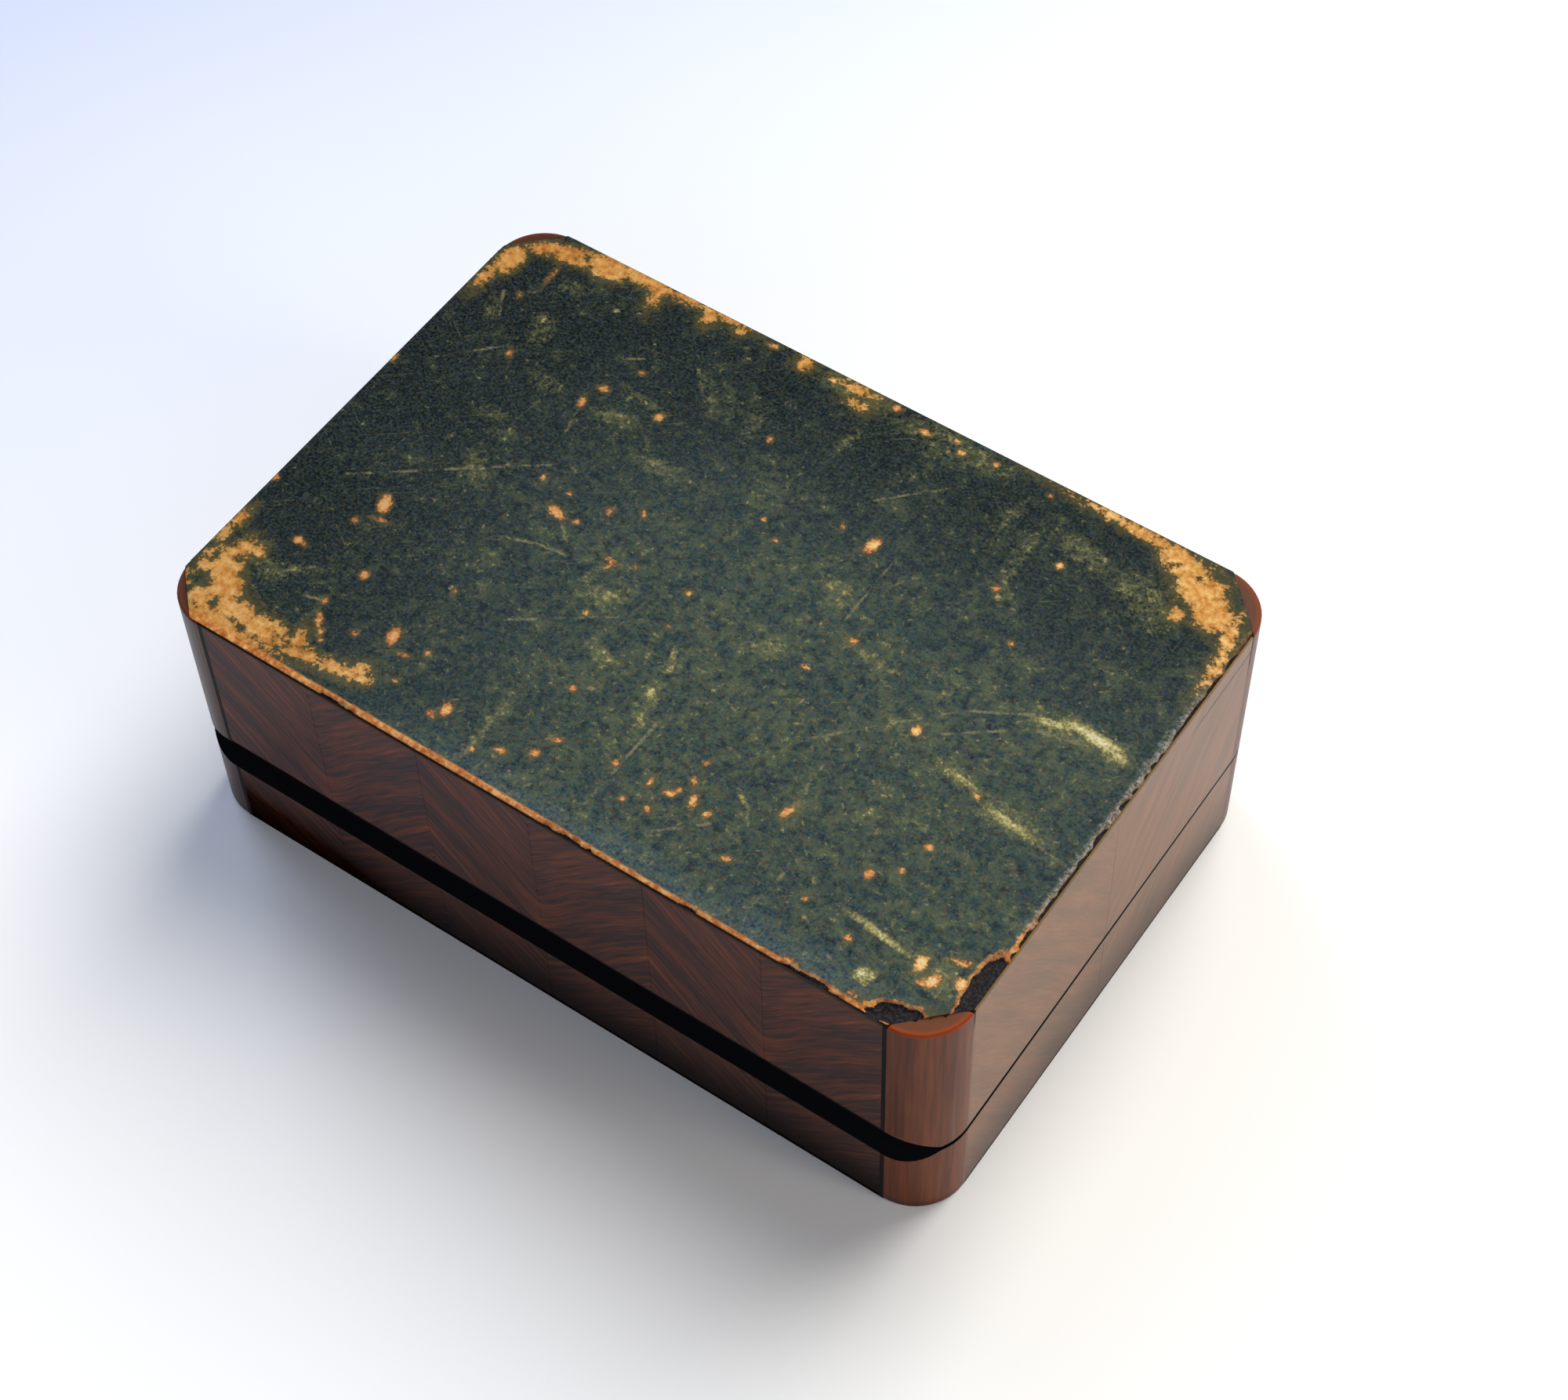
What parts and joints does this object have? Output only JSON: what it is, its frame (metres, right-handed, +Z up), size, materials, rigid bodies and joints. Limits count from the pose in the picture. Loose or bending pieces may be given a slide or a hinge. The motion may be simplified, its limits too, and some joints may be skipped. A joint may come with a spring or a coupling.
{
  "type": "marquetry box",
  "caption": "Small rectangular veneered box with rounded corners, a bevelled hinge joint along one long side, a hinged lid and a leather-covered base, lying on its lid.",
  "frame": {"origin": "middle of the lid's marquetry face, which lies on the table as pictured", "axes": "+X along the hinge side towards the short side seen in the picture, +Y from the hinge side towards the opening side, +Z up from the lid's face to the leather base"},
  "size_m": [0.12, 0.0804, 0.0445],
  "materials": {
    "veneer": "satin",
    "post_wood": "satin",
    "ebonised_wood": "gloss",
    "light_wood": "satin",
    "carcass_wood": "matte",
    "base_leather": "satin",
    "velvet": "matte",
    "hinge_brass": "satin"
  },
  "bodies": {
    "lid": {"lid_back_wall": "carcass_wood", "lid_front_wall": "carcass_wood", "lid_left_wall": "carcass_wood", "lid_right_wall": "carcass_wood", "lid_top_board": "carcass_wood", "lid_back_veneers": "veneer", "lid_front_veneers": "veneer", "lid_left_veneers": "veneer", "lid_right_veneers": "veneer", "lid_corner_posts": "post_wood", "lid_corner_strings": "ebonised_wood", "lid_crossbanding": "post_wood", "lid_field_string": "light_wood", "lid_field_veneers": "veneer", "lid_star_ring": "light_wood", "lid_star_ground": "post_wood", "lid_star_light": "light_wood", "lid_star_dark": "ebonised_wood", "lid_star_button": "light_wood", "lid_lining_pad": "velvet", "lid_lining_back": "velvet", "lid_lining_front": "velvet", "lid_lining_left": "velvet", "lid_lining_right": "velvet", "lid_hinge_leaf_left": "hinge_brass", "lid_hinge_leaf_right": "hinge_brass", "hinge_pin_left": "hinge_brass", "hinge_pin_right": "hinge_brass", "lid_hinge_screws": "hinge_brass"},
    "tray": {"tray_back_wall": "carcass_wood", "tray_front_wall": "carcass_wood", "tray_left_wall": "carcass_wood", "tray_right_wall": "carcass_wood", "tray_base_board": "carcass_wood", "tray_back_veneers": "veneer", "tray_front_veneers": "veneer", "tray_left_veneers": "veneer", "tray_right_veneers": "veneer", "tray_corner_posts": "post_wood", "tray_corner_strings": "ebonised_wood", "tray_base_leather": "base_leather", "tray_lining_pad": "velvet", "tray_lining_back": "velvet", "tray_lining_front": "velvet", "tray_lining_left": "velvet", "tray_lining_right": "velvet", "tray_hinge_leaf_left": "hinge_brass", "tray_hinge_leaf_right": "hinge_brass", "tray_hinge_screws": "hinge_brass"}
  },
  "joints": [
    {"name": "lid_hinge", "type": "hinge", "parent": "lid", "child": "tray", "pos_m": [0, -0.0373, 0.015], "axis": [1, 0, 0], "range_deg": [0, 88]}
  ]
}
